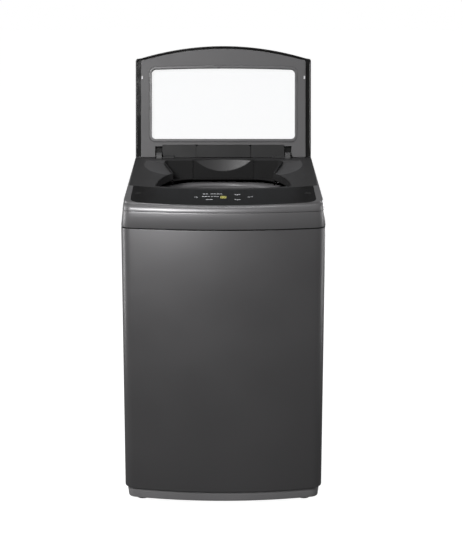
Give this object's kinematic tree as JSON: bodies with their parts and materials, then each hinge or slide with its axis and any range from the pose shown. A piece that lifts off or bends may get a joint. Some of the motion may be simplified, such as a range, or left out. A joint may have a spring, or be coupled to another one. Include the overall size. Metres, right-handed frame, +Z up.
{
  "type": "washing machine",
  "caption": "Compact top load washing machine with a hinged window lid, sloping deck, touch panel, detergent drawer, sprung tub and spinning steel basket.",
  "frame": {"origin": "on the floor, under the centre of the footprint: the tub's axis stands on it", "axes": "+Z up, the front with the control panel faces -Y, +X to the right seen from the front"},
  "size_m": [0.54, 0.5664, 1.211],
  "materials": {
    "painted_steel": "satin dark grey lacquer",
    "cover_plastic": "satin dark grey",
    "base_plastic": "matt mid grey",
    "dark_plastic": "matt charcoal",
    "panel_gloss": "gloss black",
    "lid_glass": "clear tempered glass with a black printed border",
    "black_rubber": "matt",
    "white_rubber": "matt",
    "stainless": "brushed",
    "zinc_steel": "bright zinc plate",
    "tub_plastic": "satin light grey",
    "ring_plastic": "satin grey",
    "copper": "enamelled copper windings on laminations",
    "board_green": "circuit board",
    "blue_plastic": "satin blue",
    "red_plastic": "satin red"
  },
  "bodies": {
    "cabinet": {"back_panel": "painted_steel", "base_frame": "base_plastic", "cabinet_shell": "painted_steel", "control_board": "board_green", "control_panel": "panel_gloss", "cord_gland": "black_rubber", "drain_hose": "black_rubber", "drain_outlet": "ring_plastic", "drain_pump": "ring_plastic", "drawer_housing": "dark_plastic", "hinge_arm_left": "dark_plastic", "hinge_arm_right": "dark_plastic", "inlet_valve_cold": "blue_plastic", "inlet_valve_hot": "red_plastic", "panel_screw_plug_left": "black_rubber", "panel_screw_plug_right": "black_rubber", "rear_cover": "cover_plastic", "suspension_rod_front_left": "zinc_steel", "suspension_rod_front_right": "zinc_steel", "suspension_rod_rear_left": "zinc_steel", "suspension_rod_rear_right": "zinc_steel", "suspension_spring_front_left": "zinc_steel", "suspension_spring_front_right": "zinc_steel", "suspension_spring_rear_left": "zinc_steel", "suspension_spring_rear_right": "zinc_steel", "top_band": "cover_plastic", "top_cover": "cover_plastic", "tub_collar": "dark_plastic"},
    "lid": {"lid_rim": "dark_plastic", "lid_glass": "lid_glass", "lid_frame": "cover_plastic", "lid_bezel": "cover_plastic", "hinge_bar_left": "dark_plastic", "hinge_bar_centre": "dark_plastic", "hinge_bar_right": "dark_plastic", "hinge_pin_left": "zinc_steel", "hinge_pin_right": "zinc_steel", "lid_bumper_left": "white_rubber", "lid_bumper_right": "white_rubber"},
    "drawer": {"detergent_drawer": "dark_plastic", "softener_cap": "blue_plastic"},
    "tub": {"outer_tub": "tub_plastic", "tub_cover": "tub_plastic", "bearing_housing": "zinc_steel", "motor_stator": "copper"},
    "basket": {"basket": "stainless", "balance_ring": "ring_plastic", "basket_hub": "zinc_steel", "lint_filter_left": "blue_plastic", "lint_filter_right": "blue_plastic"},
    "agitator": {"pulsator": "tub_plastic", "pulsator_cap": "ring_plastic", "drive_shaft": "zinc_steel", "motor_rotor": "zinc_steel"},
    "foot_front_left": {"levelling_foot_front_left": "black_rubber"},
    "foot_front_right": {"levelling_foot_front_right": "black_rubber"},
    "foot_rear_left": {"levelling_foot_rear_left": "black_rubber"},
    "foot_rear_right": {"levelling_foot_rear_right": "black_rubber"}
  },
  "joints": [
    {"name": "lid_hinge", "type": "hinge", "parent": "cabinet", "child": "lid", "pos_m": [0, 0.1926, 0.89223], "axis": [1, 0, 0], "range_deg": [0, 110.2]},
    {"name": "drawer_slide", "type": "slide", "parent": "cabinet", "child": "drawer", "axis": [0, -1, 0], "range_m": [0, 0.07]},
    {"name": "tub_bounce", "type": "slide", "parent": "cabinet", "child": "tub", "axis": [0, 0, -1], "range_m": [0, 0.03], "stiffness_N_per_m": 6000, "springref_m": -0.058, "deforming": ["suspension_spring_front_left", "suspension_spring_front_right", "suspension_spring_rear_left", "suspension_spring_rear_right"]},
    {"name": "basket_spin", "type": "hinge", "parent": "tub", "child": "basket", "pos_m": [0, 0, 0.5], "axis": [0, 0, 1], "continuous": true},
    {"name": "pulsator_spin", "type": "hinge", "parent": "basket", "child": "agitator", "pos_m": [0, 0, 0.3], "axis": [0, 0, 1], "continuous": true},
    {"name": "foot_adjust_front_left", "type": "slide", "parent": "cabinet", "child": "foot_front_left", "axis": [0, 0, -1], "range_m": [0, 0.012]},
    {"name": "foot_adjust_front_right", "type": "slide", "parent": "cabinet", "child": "foot_front_right", "axis": [0, 0, -1], "range_m": [0, 0.012]},
    {"name": "foot_adjust_rear_left", "type": "slide", "parent": "cabinet", "child": "foot_rear_left", "axis": [0, 0, -1], "range_m": [0, 0.012]},
    {"name": "foot_adjust_rear_right", "type": "slide", "parent": "cabinet", "child": "foot_rear_right", "axis": [0, 0, -1], "range_m": [0, 0.012]}
  ]
}
